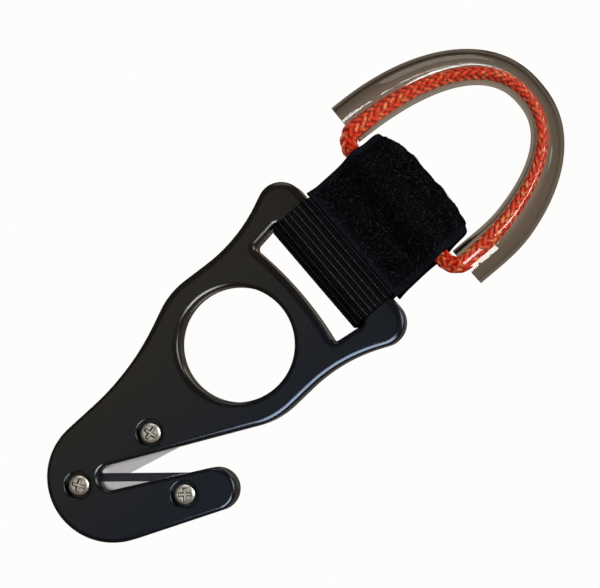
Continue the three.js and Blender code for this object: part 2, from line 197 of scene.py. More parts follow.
class Builder:
    """Collects grids of points, in millimetres, and makes one piece of them."""

    def __init__(self):
        self.points = []
        self.faces = []
        self.flat = []
        self.values = {}
        self.count = 0

    def add(self, points, faces, flat=False, **values):
        points = np.asarray(points, float).reshape(-1, 3)
        start = self.count
        self.points.append(points)
        self.faces += [tuple(start + i for i in face) for face in faces]
        self.flat += [flat] * len(faces)
        self.count += len(points)
        for name, value in values.items():
            self.values.setdefault(name, []).append((start, np.asarray(value, float).ravel()))

    def grid(self, rows, caps=True, **values):
        """Rings of points, each ring joined to the next, with the two end rings capped."""
        rows = np.asarray(rows, float)
        n, m = rows.shape[:2]
        faces = []
        for i in range(n - 1):
            a = i * m
            b = a + m
            faces += [(a + j, a + j + 1, b + j + 1, b + j) for j in range(m - 1)]
            faces.append((a + m - 1, a, b, b + m - 1))
        if caps:
            faces.append(tuple(range(m - 1, -1, -1)))
            faces.append(tuple((n - 1) * m + j for j in range(m)))
        self.add(rows, faces, **values)

    def piece(self, name, material, slot, sharp=180, merge=0.0):
        """Makes the piece; the values given with its points are attributes of its mesh."""
        points = (np.vstack(self.points) + [0, 0, lift]) * MM
        mesh = bpy.data.meshes.new(name)
        mesh.from_pydata(points.tolist(), [], self.faces)
        mesh.polygons.foreach_set("use_smooth", [not f for f in self.flat])
        for key, parts in self.values.items():
            data = np.zeros(len(points), np.float32)
            for start, value in parts:
                data[start : start + len(value)] = value
            mesh.attributes.new(key, "FLOAT", "POINT").data.foreach_set("value", data)
        outward(mesh, merge * MM)
        if sharp < 180:
            mesh.set_sharp_from_angle(angle=math.radians(sharp))
        mesh.materials.append(material)
        made = bpy.data.objects.new(name, mesh)
        bpy.context.scene.collection.objects.link(made)
        return made


def outward(mesh, merge):
    """Turns every face outwards, after joining points that are closer than merge."""
    work = bmesh.new()
    work.from_mesh(mesh)
    if merge:
        bmesh.ops.remove_doubles(work, verts=work.verts, dist=merge)
    bmesh.ops.recalc_face_normals(work, faces=work.faces)
    work.to_mesh(mesh)
    work.free()
    mesh.update()


def tangents(path):
    """Unit directions along a path, at each of its points."""
    d = np.gradient(np.asarray(path, float), axis=0)
    return d / np.linalg.norm(d, axis=1)[:, None]


def smooth(t):
    """Eases from 0 to 1 as t goes from 0 to 1."""
    t = np.clip(t, 0, 1)
    return t * t * (3 - 2 * t)


def at(x, y, z):
    """A place of this script as the frame's metres."""
    return (x * MM, y * MM, (z + lift) * MM)


def rings_round(path, first, second, sides):
    """Rings round a path. first and second are each a direction and the radius along it."""
    angles = np.arange(sides) * 2 * math.pi / sides
    rings = path[:, None, :]
    for (direction, radius), turn in ((first, np.cos(angles)), (second, np.sin(angles))):
        radius = np.broadcast_to(radius, len(path))[:, None, None]
        direction = np.broadcast_to(direction, path.shape)[:, None, :]
        rings = rings + radius * turn[None, :, None] * direction
    return rings


def resampled(path, step):
    """The same path with its points evenly spaced, and their distances along it."""
    path = np.asarray(path, float)
    along = np.concatenate([[0], np.cumsum(np.linalg.norm(np.diff(path, axis=0), axis=1))])
    count = max(2, int(round(along[-1] / step)) + 1)
    even = np.linspace(0, along[-1], count)
    return np.stack([np.interp(even, along, path[:, k]) for k in range(path.shape[1])], 1), even


# ---------------------------------------------------------------- outlines


def mirrored(peg):
    return (-peg[0], peg[1], peg[2])


def belt(pegs):
    """Points and outward normals of a belt round pegs (x, z, radius). It turns left round a
    positive radius and right round a negative one."""
    headings = []
    for peg, following in zip(pegs, pegs[1:] + pegs[:1]):
        dx, dz = following[0] - peg[0], following[1] - peg[1]
        lean = max(-1, min(1, (peg[2] - following[2]) / math.hypot(dx, dz)))
        headings.append(math.atan2(dz, dx) + math.asin(lean))
    points, normals = [], []
    for i, (x, z, r) in enumerate(pegs):
        side = math.copysign(1, r)
        turn = side * ((side * (headings[i] - headings[i - 1])) % (2 * math.pi))
        step = 2 * math.acos(1 - BELT_SAG / max(abs(r), 0.3))
        steps = max(3, math.ceil(abs(turn) / step))
        for k in range(steps + 1):
            heading = headings[i - 1] + turn * k / steps
            normal = (math.sin(heading), -math.cos(heading))
            points.append((x + r * normal[0], z + r * normal[1]))
            normals.append(normal)
    return np.array(points), np.array(normals)


def circle(x, z, radius, steps=72):
    angles = np.arange(steps) * 2 * math.pi / steps
    normals = np.stack([np.cos(angles), np.sin(angles)], 1)
    return np.array([x, z]) + radius * normals, normals


def mouth_point(along, across):
    c, s = math.cos(MOUTH_ANGLE), math.sin(MOUTH_ANGLE)
    return MOUTH_END[0] + along * c - across * s, MOUTH_END[1] + along * s + across * c


# ---------------------------------------------------------------- shader building


class Shader:
    """The nodes of a material, or of the world that it is given: node() adds a node, and its
    inputs are sockets or plain values."""

    def __init__(self, name, world=None):
        self.owner = world or bpy.data.materials.new(name)
        self.owner.use_nodes = True
        self.tree = self.owner.node_tree
        self.tree.nodes.clear()

    def node(self, kind, inputs=None, **settings):
        made = self.tree.nodes.new("ShaderNode" + kind)
        for key, value in settings.items():
            setattr(made, key, value)
        for key, value in (inputs or {}).items():
            if isinstance(value, bpy.types.NodeSocket):
                self.tree.links.new(value, made.inputs[key])
            else:
                made.inputs[key].default_value = value
        return made

    def math(self, operation, a, b=0.0, c=0.0):
        return self.node("Math", {0: a, 1: b, 2: c}, operation=operation).outputs[0]

    def attribute(self, name):
        return self.node("Attribute", attribute_name=name).outputs["Fac"]

    def place(self):
        return self.node("NewGeometry").outputs["Position"]

    def noise(self, scale, detail=3.0, rough=0.55, vector=None):
        inputs = {"Scale": scale, "Detail": detail, "Roughness": rough}
        inputs["Vector"] = vector or self.node("TexCoord").outputs["Object"]
        return self.node("TexNoise", inputs).outputs["Fac"]

    def stretched(self, scale, turn=0.0):
        mapping = {"Vector": self.node("TexCoord").outputs["Object"], "Scale": scale}
        mapping["Rotation"] = (0, turn, 0)
        return self.node("Mapping", mapping).outputs["Vector"]

    def ramp(self, value, *stops):
        made = self.node("ValToRGB", {"Fac": value})
        elements = made.color_ramp.elements
        while len(elements) < len(stops):
            elements.new(0.5)
        for element, (where, colour) in zip(elements, stops):
            element.position = where
            element.color = (*colour, 1) if isinstance(colour, tuple) else (colour,) * 3 + (1,)
        return made.outputs["Color"]

    def mix(self, factor, a, b):
        made = self.node("Mix", data_type="RGBA")
        for index, value in ((0, factor), (6, a), (7, b)):
            if isinstance(value, bpy.types.NodeSocket):
                self.tree.links.new(value, made.inputs[index])
            elif index == 0:
                made.inputs[0].default_value = value
            else:
                made.inputs[index].default_value = (*value, 1)
        return made.outputs[2]

    def bump(self, height, distance):
        inputs = {"Height": height, "Distance": distance * MM, "Strength": 1.0}
        return self.node("Bump", inputs).outputs["Normal"]

    def surface(self, **inputs):
        shader = self.node("BsdfPrincipled", {k.replace("_", " "): v for k, v in inputs.items()})
        return self.finish(shader.outputs["BSDF"])

    def finish(self, socket):
        self.node("OutputMaterial", {"Surface": socket})
        return self.owner


def per_mm(value):
    """A texture scale in features per millimetre, for coordinates in metres."""
    return value / MM


def anodised_black():
    s = Shader("anodised_black")
    # Painted light: the colour runs from warm brown on the left (-X) to cool blue on the right
    # (+X), standing in for warm light falling on one side and cool light on the other.
    across = s.node("SeparateXYZ", {"Vector": s.place()}).outputs["X"]
    side = s.math("MULTIPLY_ADD", across, 1 / (50 * MM), 0.5)
    tone = s.ramp(side, (0.2, (0.0058, 0.0053, 0.0042)), (0.85, (0.0016, 0.0026, 0.0050)))
    cloud = s.noise(per_mm(0.06), 4)
    tone = s.mix(s.ramp(cloud, (0.35, 0.0), (0.75, 0.3)), tone, (0.0065, 0.0063, 0.006))
    dust = s.ramp(s.noise(per_mm(1.6), 2), (0.80, 0.0), (0.83, 0.4))
    tone = s.mix(dust, tone, (0.06, 0.065, 0.07))
    scratches = s.noise(1.0, 2, vector=s.stretched((per_mm(0.25), per_mm(2), per_mm(4)), 0.7))
    scratch = s.ramp(scratches, (0.70, 0.0), (0.74, 1.0))
    grain = s.noise(per_mm(1.5), 2)
    rough = s.math("MULTIPLY_ADD", grain, 0.08, 0.16)
    rough = s.math("MULTIPLY_ADD", scratch, 0.10, rough)
    # Painted reflection: the reflections are tinted warm on the left and cool on the right in
    # the same way.
    painted_reflection_tint = s.ramp(side, (0.25, (1.0, 0.97, 0.86)), (0.85, (0.66, 0.78, 1.0)))
    return s.surface(
        Base_Color=tone, Roughness=rough, Specular_IOR_Level=0.34, Specular_Tint=painted_reflection_tint
    )


def blade_steel():
    """Polished flats, and a matter ground bevel: the face that leans from the flats. The bevel's
    colour is painted dark, a painted reflection of the dark that it faces.
    """
    s = Shader("blade_steel")
    grind = s.noise(1.0, 2, vector=s.stretched((per_mm(0.2), per_mm(4), per_mm(5)), -0.9))
    flat = s.ramp(grind, (0.3, (0.70, 0.725, 0.755)), (0.7, (0.84, 0.865, 0.895)))
    # Painted shade: the ground bevel's colour is painted near black, far darker than the steel
    # of the flats.
    ground = s.ramp(grind, (0.3, (0.052, 0.061, 0.080)), (0.7, (0.082, 0.094, 0.116)))
    facing = s.node("SeparateXYZ", {"Vector": s.node("NewGeometry").outputs["True Normal"]})
    level = s.math("ABSOLUTE", facing.outputs["Y"])
    leaning = s.math("LESS_THAN", level, 0.985)
    bevel = s.math("MULTIPLY", leaning, s.math("GREATER_THAN", level, 0.5))
    tone = s.mix(bevel, flat, ground)
    rough = s.math("MULTIPLY_ADD", grind, 0.08, 0.26)
    rough = s.math("MULTIPLY_ADD", bevel, 0.15, rough)
    return s.surface(Base_Color=tone, Metallic=1.0, Roughness=rough)


def screw_steel():
    s = Shader("screw_steel")
    worn = s.noise(per_mm(1.6), 5, 0.65)
    tone = s.ramp(
        worn, (0.3, (0.52, 0.50, 0.41)), (0.5, (0.78, 0.785, 0.72)), (0.75, (0.90, 0.91, 0.88))
    )
    # Painted shade: the recess's sloping walls are painted near black.
    tone = s.mix(s.attribute("wall"), tone, (0.012, 0.012, 0.014))
    rough = s.math("MULTIPLY_ADD", worn, 0.25, 0.24)
    return s.surface(
        Base_Color=tone, Metallic=1.0, Roughness=rough, Normal=s.bump(worn, 0.02)
    )


def black_webbing():
    s = Shader("black_webbing")
    # Painted highlight: the tops of the ribs, where they catch the light, are painted light grey
    # in dotted lines broken up by noise.
    crest = s.attribute("crest")
    dots = s.attribute("dots")
    crest_highlight_breakup = s.ramp(s.noise(per_mm(1.3), 4), (0.5, 0.35), (0.75, 1.0))
    painted_crest_highlight = s.math("MULTIPLY", s.math("MULTIPLY", crest, dots), crest_highlight_breakup)
    tone = s.mix(painted_crest_highlight, (0.0009, 0.0012, 0.0018), (0.07, 0.08, 0.085))
    fibre = s.noise(1.0, 2, vector=s.stretched((per_mm(1.5), per_mm(9), per_mm(9))))
    return s.surface(
        Base_Color=tone,
        Roughness=0.9,
        Specular_IOR_Level=0.0,
        Normal=s.bump(fibre, 0.05),
    )


def black_pile():
    s = Shader("black_pile")
    tuft = s.noise(per_mm(1.8), 5, 0.7)
    tone = s.ramp(tuft, (0.35, (0.0012, 0.0013, 0.0018)), (0.65, (0.0035, 0.004, 0.0048)))
    speck = s.ramp(s.noise(per_mm(2.6), 1), (0.60, 0.0), (0.70, 0.8))
    tone = s.mix(speck, tone, (0.022, 0.025, 0.028))
    tone = s.mix(s.attribute("weave"), tone, (0.009, 0.011, 0.016))
    # Painted shade: where the surface turns away from the view, towards its outline, it is
    # painted near black.
    turned_away = s.node("LayerWeight", {"Blend": 0.5}).outputs["Facing"]
    tone = s.mix(s.ramp(turned_away, (0.5, 0.0), (0.85, 0.9)), tone, (0.0006, 0.0006, 0.0008))
    return s.surface(
        Base_Color=tone,
        Roughness=0.95,
        Specular_IOR_Level=0.0,
        Normal=s.bump(tuft, 0.35),
    )


def pile_fibre():
    s = Shader("pile_fibre")
    tone = s.ramp(
        s.attribute("shade"),
        (0.0, (0.001, 0.0012, 0.0016)),
        (0.75, (0.0055, 0.006, 0.0072)),
        (1.0, (0.06, 0.066, 0.07)),
    )
    streak = s.noise(per_mm(4), 2)
    tone = s.mix(s.ramp(streak, (0.45, 0.0), (0.8, 0.3)), tone, (0.012, 0.015, 0.017))
    return s.surface(Base_Color=tone, Roughness=0.9, Specular_IOR_Level=0.0)


def black_thread():
    s = Shader("black_thread")
    twist = s.noise(1.0, 1, vector=s.stretched((per_mm(3), per_mm(1), per_mm(3)), 0.7))
    tone = s.ramp(twist, (0.4, (0.002, 0.002, 0.0026)), (0.7, (0.008, 0.0085, 0.01)))
    return s.surface(
        Base_Color=tone, Roughness=0.9, Specular_IOR_Level=0.0, Normal=s.bump(twist, 0.05)
    )


def red_cord():
    s = Shader("red_cord")
    lane = s.attribute("lane")
    along = s.attribute("along")
    wander = s.noise(per_mm(0.7), 2)
    yarn = s.math("SINE", s.math("MULTIPLY_ADD", lane, 16.0, s.math("MULTIPLY", wander, 9.0)))
    yarn = s.math("MULTIPLY_ADD", yarn, 0.5, 0.5)
    body = s.mix(yarn, (0.34, 0.0035, 0.0015), (1.0, 0.036, 0.006))
    # Painted light: inside the tube the cord is painted lighter, standing in for the light that
    # the tube gathers onto it.
    sheathed = s.attribute("sheathed")
    body = s.mix(sheathed, body, s.mix(yarn, (0.72, 0.012, 0.007), (1.0, 0.10, 0.04)))
    # Painted highlight: bright orange flecks, scattered by noise over the strands.
    painted_fleck_highlight = s.ramp(s.noise(per_mm(0.62), 2), (0.52, 0.0), (0.62, 1.0))
    body = s.mix(s.math("MULTIPLY", painted_fleck_highlight, 0.75), body, (1.0, 0.32, 0.13))
    # Painted shade: depth darkens the strands where they dip under one another, towards their
    # edges and on the core between them.
    tone = s.mix(s.attribute("depth"), (0.085, 0.002, 0.001), body)
    ripple = s.math("MULTIPLY", s.math("SINE", s.math("MULTIPLY", along, 7.0)), 0.1)
    height = s.math("ADD", yarn, ripple)
    return s.surface(
        Base_Color=tone,
        Roughness=0.34,
        Specular_IOR_Level=0.4,
        Specular_Tint=(1.0, 0.55, 0.35, 1),
        Normal=s.bump(height, 0.08),
    )


def sleeve_thread():
    s = Shader("sleeve_thread")
    wound = s.node("TexWave", {"Scale": per_mm(0.9), "Distortion": 1.0}, bands_direction="X")
    tone = s.mix(wound.outputs["Fac"], (0.42, 0.40, 0.35), (0.66, 0.64, 0.58))
    return s.surface(
        Base_Color=tone, Roughness=0.7, Normal=s.bump(wound.outputs["Fac"], 0.08)
    )


def clear_pvc():
    """Refracts for what looks at it, and lets the lamps' light through to the cord."""
    s = Shader("clear_pvc")
    wavy = s.bump(s.noise(per_mm(0.16), 2), 0.06)
    # The tube's slight tint is its own. That it is darker on the outer side and nearly clear
    # towards the cord is painted: shade on the outer wall, and light kept on the cord seen
    # through it.
    tint = s.ramp(s.attribute("inward"), (0.3, (0.84, 0.82, 0.80)), (0.6, (0.99, 0.985, 0.97)))
    glass = s.node(
        "BsdfGlass", {"Color": tint, "Roughness": 0.0, "IOR": 1.5, "Normal": wavy}
    )
    clear = s.node("BsdfTransparent", {"Color": (0.99, 0.985, 0.97, 1)})
    shadow = s.node("LightPath").outputs["Is Shadow Ray"]
    mixed = s.node("MixShader", {0: shadow, 1: glass.outputs[0], 2: clear.outputs[0]})
    return s.finish(mixed.outputs[0])


# ---------------------------------------------------------------- plates


def rounding(width, depth, segments):
    """Insets and depths of a rounded edge, from the face to the wall."""
    turns = [math.pi / 2 * k / segments for k in range(segments + 1)]
    return [(width * (1 - math.sin(a)), depth * (1 - math.cos(a))) for a in turns]


def outer_edge():
    start = [(EDGE_WIDTH + FACE_RING, 0)]
    end = [(0, PLATE - PARTING - PARTING_BREAK), (PARTING_BREAK, PLATE - PARTING)]
    return start + rounding(EDGE_WIDTH, EDGE, 10) + end


def widened(points):
    """How many times as wide the rounding is at each point of an outline."""
    above = (points[:, 1:2] - WIDENING["from"]) / (WIDENING["to"] - WIDENING["from"])
    return 1 + WIDENING["by"] * smooth(above)


def counterbore_edge():
    start = [(COUNTERBORE_RIM[0] + FACE_RING, 0)]
    floor = PLATE + COUNTERBORE_FLOOR
    step = COUNTERBORE - CLEARANCE_HOLE
    end = [(0, floor), (-step, floor), (-step, PLATE - PARTING)]
    return start + rounding(*COUNTERBORE_RIM, 5) + end


def tapped_edge():
    start = [(TAPPED_BREAK + TAPPED_RING, 0), (TAPPED_BREAK, 0)]
    return start + [(0, TAPPED_BREAK), (0, PLATE - PARTING)]


def make_plate(name, front, material):
    """One plate, lofted ring by ring from its outer face to its face on the parting plane."""
    ears_and_left = [LOBE, mirrored(LOBE), mirrored(WAIST), RING, BODY_SIDE]
    hook_and_right = [HEEL, JAW_TIP, MOUTH_END, RING, WAIST]
    window = [mirrored(WINDOW_LOW), WINDOW_CROWN, WINDOW_LOW, WINDOW_HIGH, mirrored(WINDOW_HIGH)]
    contours = [
        (belt(ears_and_left + hook_and_right), 1, outer_edge()),
        (circle(0, 0, FINGER_HOLE, 180), -1, outer_edge()),
        (belt(window), -1, outer_edge()),
    ]
    for along, across, _ in SCREWS.values():
        x, z = mouth_point(along, across)
        radius = COUNTERBORE if front else TAPPED_HOLE
        edge = counterbore_edge() if front else tapped_edge()
        contours.append((circle(x, z, radius), -1, edge))
    way = 1 if front else -1
    built = Builder()
    faces_of = {0: [], -1: []}
    for (points, normals), side, profile in contours:
        rings = []
        for inset, depth in profile:
            at = points - side * inset * widened(points) * normals
            y = np.full(len(at), way * (depth - PLATE))
            rings.append(np.stack([at[:, 0], y, at[:, 1]], 1))
        built.grid(np.array(rings), caps=False)
        for end in faces_of:
            faces_of[end].append(rings[end])
    for loops in faces_of.values():
        flat = [[Vector((x, z, 0)) for x, _, z in loop] for loop in loops]
        triangles = tessellate_polygon(flat)
        built.add(np.vstack(loops), triangles, flat=True)
    plate = built.piece(name, material, "black_anodised", merge=WELD)
    cut_pocket(plate, upper=not front)
    plate.data.set_sharp_from_angle(angle=math.radians(SHARP["plate"]))
    return plate


def cut_pocket(plate, upper):
    """Cuts the blade's pocket: a box in the blade's own axes, turned into its place."""
    corners = [
        (x, y, z)
        for x in (POCKET["rear"], POCKET["front"])
        for z in (-POCKET["play"], POCKET["width"] - POCKET["play"])
        for y in (-CUT_PAST, POCKET["depth"])
    ]
    angle = MOUTH_ANGLE + (BLADE_HALF_ANGLE if upper else -BLADE_HALF_ANGLE)
    apex = mouth_point(BLADE_APEX, 0)
    side = 1 if upper else -1
    placed = [
        (
            apex[0] + x * math.cos(angle) - side * z * math.sin(angle),
            side * y,
            apex[1] + x * math.sin(angle) + side * z * math.cos(angle),
        )
        for x, y, z in corners
    ]
    faces = [(0, 1, 3, 2), (4, 6, 7, 5), (0, 4, 5, 1), (2, 3, 7, 6), (0, 2, 6, 4), (1, 5, 7, 3)]
    tool = Builder()
    tool.add(placed, faces, flat=True)
    box = tool.piece("pocket_tool", plate.data.materials[0], "black_anodised")
    cutter = plate.modifiers.new("pocket", "BOOLEAN")
    cutter.operation = "DIFFERENCE"
    cutter.solver = "EXACT"
    cutter.object = box
    evaluated = plate.evaluated_get(bpy.context.evaluated_depsgraph_get())
    result = bpy.data.meshes.new_from_object(evaluated)
    plate.modifiers.clear()
    plate.data = result
    bpy.data.objects.remove(box)


# ---------------------------------------------------------------- screws


def cross_recess(x, z):
    """Depth of the cross recess at a point of the head, with sloping walls and ends."""

    def arm(along, across):
        wall = (RECESS["half"] - np.abs(across)) / RECESS["wall"]
        end = (RECESS["reach"] - np.abs(along)) / RECESS["end"]
        return RECESS["depth"] * smooth(wall) * smooth(end)

    return np.maximum(arm(x, z), arm(z, x))


def make_screw(name, along, across, turn, material):
    """A pan head with its recess as one polar grid, then the shank. wall marks the recess's
    sloping walls, half way down, which the material paints near black as painted shade."""
    sides = 120
    angles = np.arange(sides) * 2 * math.pi / sides
    radii = np.concatenate([np.linspace(0.02, 2.0, 48), np.linspace(2.05, HEAD_RADIUS, 12)])
    rings = []
    walls = []
    for radius in radii:
        x, z = radius * np.cos(angles), radius * np.sin(angles)
        t = max(0.0, (radius - HEAD_FLAT) / (HEAD_RADIUS - HEAD_FLAT))
        fall = HEAD_FALL * (1 - math.sqrt(max(0.0, 1 - t * t)))
        recess = cross_recess(x, z)
        rings.append(np.stack([x, HEAD_TOP + fall + recess, z], 1))
        walls.append(smooth(8 * recess * (RECESS["depth"] - recess) / RECESS["depth"] ** 2))
    for radius, y in (
        (HEAD_RADIUS, HEAD_SEAT - HEAD_BREAK),
        (HEAD_RADIUS - HEAD_BREAK, HEAD_SEAT),
        (SCREW_RADIUS, HEAD_SEAT),
        (SCREW_RADIUS, SCREW_TIP - TIP_CHAMFER),
        (SCREW_RADIUS - TIP_CHAMFER, SCREW_TIP),
    ):
        rings.append(np.stack([radius * np.cos(angles), np.full(len(angles), y),
                               radius * np.sin(angles)], 1))
        walls.append(np.zeros(len(angles)))
    rings = np.array(rings)
    c, s = math.cos(turn), math.sin(turn)
    x, z = rings[..., 0].copy(), rings[..., 2].copy()
    centre = mouth_point(along, across)
    rings[..., 0] = centre[0] + x * c - z * s
    rings[..., 2] = centre[1] + x * s + z * c
    built = Builder()
    built.grid(rings, wall=np.array(walls))
    screw = built.piece(name + "_finish", material, "screw_steel", sharp=SHARP["screw"])
    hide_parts(name)
    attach(screw, "knife")


# ---------------------------------------------------------------- strap


def layer_y(z):
    """Distance of the webbing layer's middle from the middle plane, at a height."""
    z = np.asarray(z, float)
    open_y = BEND[1] - LAYER
    closing = open_y * (1 - smooth((z - CLOSING[0]) / (CLOSING[1] - CLOSING[0])))
    bulge = BULGE[0] * np.exp(-(((z - CORD_AXIS) / BULGE[1]) ** 2))
    return LAYER + closing + bulge


def sheet(builder, path, along, half_width, offsets, **values):
    """A strip of fabric swept along a path in Y and Z. offsets(along, x) gives the outer and
    the inner surface's distance from the path, whose outward normal is on its left, and each
    of the values is a function (along, x) that marks the outer surface for the material."""
    t = tangents(path)
    normal = np.stack([-t[:, 1], t[:, 0]], 1)
    x = np.linspace(-half_width, half_width, FABRIC_COLUMNS)
    outer, inner = offsets(along[:, None], x[None, :])
    sides = []
    for distance, order in ((outer, 1), (inner, -1)):
        y = path[:, 0:1] + normal[:, 0:1] * distance
        z = path[:, 1:2] + normal[:, 1:2] * distance
        points = np.stack([np.broadcast_to(x, y.shape), y, z], 2)
        sides.append(points[:, ::order])
    ready = {}
    for key, function in values.items():
        value = function(along[:, None], x[None, :])
        ready[key] = np.concatenate([value, np.zeros_like(value)], 1)
    builder.grid(np.concatenate(sides, 1), **ready)


def webbing_path():
    top = TAPE_FOLD - 1.0
    heights = np.linspace(BEND[0], top, 400)
    y = layer_y(heights)
    turn = np.linspace(0, math.pi, 60)[1:-1]
    bend = np.stack([BEND[1] * np.cos(turn), BEND[0] - BEND[1] * np.sin(turn)], 1)
    back = np.stack([y, heights], 1)[::-1]
    front = np.stack([-y, heights], 1)
    return resampled(np.vstack([back, bend, front]), RIB_PITCH / RIB_STEPS)


def rib_shape(along):
    return np.abs(np.cos(math.pi * along / RIB_PITCH))


def make_webbing(material):
    """One strip of ribbed webbing: down the back, round the bar and up the front."""
    path, along = webbing_path()
    half = WEBBING_THICKNESS / 2

    def edge(x):
        inset = np.clip((np.abs(x) - WEBBING_HALF + 0.5) / 0.5, 0, 1)
        return half * (1 - np.sqrt(1 - 0.9 * inset**2))

    def offsets(s, x):
        rib = RIB_DEPTH * (rib_shape(s) ** 0.6 - 1)
        turn = 2 * math.pi * x / KNUCKLE[0] + math.pi * np.floor(s / RIB_PITCH)
        outer = half + rib + KNUCKLE[1] * np.cos(turn) * rib_shape(s) ** 4 - edge(x)
        return outer, -half + 0.5 * (RIB_DEPTH + rib) + edge(x)

    # Painted highlight: marks the tops of the ribs, and faintly the grooves between them, where
    # the material paints light grey.
    def crest(s, x):
        between = np.abs(np.sin(math.pi * s / RIB_PITCH))
        return rib_shape(s) ** 14 + 0.22 * between**10 + 0 * x

    def dots(s, x):
        """Where the painted highlight on a rib falls: separate stitches, which run together into
        lines on the middle ribs of the front.
        """
        row = np.round(s / RIB_PITCH)
        stitch = 0.5 + 0.5 * np.cos(2 * math.pi * (x / KNUCKLE[0] + 0.37 * row))
        from_top = along[-1] - row * RIB_PITCH
        run_on = smooth(LINES[1] - np.abs(from_top - LINES[0]))
        return 0.15 + 0.85 * stitch**2 + 0.5 * run_on * (1 - stitch**2)

    built = Builder()
    sheet(built, path, along, WEBBING_HALF, offsets, crest=crest, dots=dots)
    built.points = [askew(points) for points in built.points]
    webbing = built.piece("strap_webbing", material, "black_webbing", sharp=SHARP["soft"])
    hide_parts("webbing_wrap", "webbing_tab")
    across_the_fold(webbing)


def across_the_fold(piece):
    """Bakes the piece's placement into its mesh."""
    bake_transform(piece)


def tape_path():
    heights = np.linspace(TAPE_LOW, TAPE_FOLD, 300)
    y = layer_y(heights) + WEBBING_THICKNESS / 2 + FABRIC_GAP + TAPE_THICKNESS / 2
    turn = np.linspace(0, math.pi, 50)[1:-1]
    fold = y[-1]
    over = np.stack([-fold * np.cos(turn), TAPE_FOLD + fold * np.sin(turn)], 1)
    front = np.stack([-y, heights], 1)
    back = np.stack([y, heights], 1)[::-1]
    return resampled(np.vstack([front, over, back]), TAPE_STEP)


def askew(points):
    """The strap's upper part as it lies: it leans and narrows a little, and its fold is wavy
    and hangs at the two corners."""
    x, z = points[..., 0], points[..., 2]
    up = np.clip((z - 36) / 24, 0, 1.1)
    left = LOWERED["left"] * np.clip((-x - 4) / 12, 0, 1) ** 2
    right = LOWERED["right"] * np.clip((x - 9) / 7, 0, 1) ** 1.5
    waves = LOWERED["waves"] * np.sin(x * 0.9 + 1.0) * np.sin(x * 0.37)
    moved = points.copy()
    moved[..., 0] = x * (1 - 0.02 * up) - STRAP_LEAN * up
    moved[..., 2] = z - (left + right + waves) * smooth((z - 50) / 9)
    return moved


def tuft(s, x):
    """Unevenness of the pile at each point of the tape, from broad and fine noise."""
    rough = np.zeros(np.broadcast(s, x).shape)
    for i in range(rough.shape[0]):
        for j in range(rough.shape[1]):
            spot = Vector((x[0, j] * 0.55, s[i, 0] * 0.55, 3.0))
            broad = noise.noise(spot * 0.45)
            fine = noise.noise(spot * 2.6)
            rough[i, j] = 0.16 * broad + 0.14 * fine
    return rough


def make_tape(material, fibre_material):
    """Loop tape, folded over the webbing: a pile between woven selvedges and ends."""
    path, along = tape_path()
    half = TAPE_THICKNESS / 2

    def pile(s, x):
        side = smooth((TAPE_HALF - SELVEDGE - np.abs(x)) / 0.5)
        ends = smooth(np.minimum(s - PILE_ENDS, along[-1] - PILE_ENDS - s) / 0.8)
        return side * ends

    def twill(s, x):
        return np.sin(2 * math.pi * (s * 0.9 + np.abs(x) * 0.7) / 0.62)

    def edge(x):
        inset = np.clip((np.abs(x) - TAPE_HALF + 0.3) / 0.3, 0, 1)
        return 0.7 * half * (1 - np.sqrt(1 - inset**2))

    def offsets(s, x):
        p = pile(s, x)
        woven = 0.035 * twill(s, x)
        outer = half - PILE_SUNK * (1 - p) + p * tuft(s, x) + (1 - p) * woven - edge(x)
        return outer, -half + edge(x) + 0 * s

    def weave(s, x):
        stripe = 0.5 + 0.5 * twill(s, x)
        return (1 - pile(s, x)) * stripe**2

    built = Builder()
    sheet(built, path, along, TAPE_HALF, offsets, weave=weave)
    built.points = [askew(points) for points in built.points]
    tape = built.piece("pile_tape_body", material, "black_pile", sharp=SHARP["soft"])
    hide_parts("pile_tape")
    across_the_fold(tape)
    fibres = make_fibres(path, along, half, fibre_material)
    across_the_fold(fibres)


def make_fibres(path, along, half, material):
    """Small loops of pile, each a thin three-sided thread arched over the tape's surface."""
    draw = random.Random(7)
    t = tangents(path)
    normal = np.stack([-t[:, 1], t[:, 0]], 1)
    arches = []
    for _ in range(FIBRES):
        s = draw.uniform(2.0, along[-1] - 2.0)
        x = draw.uniform(-1, 1) * (TAPE_HALF - SELVEDGE - 0.2)
        y, z = (np.interp(s, along, path[:, k]) for k in (0, 1))
        ny, nz = (np.interp(s, along, normal[:, k]) for k in (0, 1))
        up = np.array([0, ny, nz])
        flow = np.array([0, -nz, ny])
        lie = draw.uniform(0, 2 * math.pi)
        run = math.cos(lie) * np.array([1.0, 0, 0]) + math.sin(lie) * flow
        sway = np.cross(up, run)
        long = draw.uniform(0.5, 1.5)
        high = draw.uniform(0.05, 0.3)
        bend = draw.uniform(-0.35, 0.35)
        u = np.linspace(0, 1, 6)[:, None]
        foot = np.array([x, y, z]) + up * (half - 0.12)
        arch = foot + run * long * (u - 0.5) + up * high * np.sqrt(4 * u * (1 - u) + 0.001)
        arch = arch + sway * bend * np.sin(math.pi * u)
        arches.append((arch, up, draw.random() ** 2))
    built = Builder()
    for arch, up, shade in arches:
        t = tangents(arch)
        side = np.cross(t, up)
        side /= np.linalg.norm(side, axis=1)[:, None] + 1e-9
        top = np.cross(side, t)
        ring = [
            arch + FIBRE_RADIUS * (math.cos(a) * side + math.sin(a) * top)
            for a in (math.radians(90), math.radians(210), math.radians(330))
        ]
        rings = np.stack(ring, 1)
        built.grid(rings, shade=np.full(rings.shape[:2], shade))
    built.points = [askew(points) for points in built.points]
    return built.piece("pile_fibres", material, "black_pile")


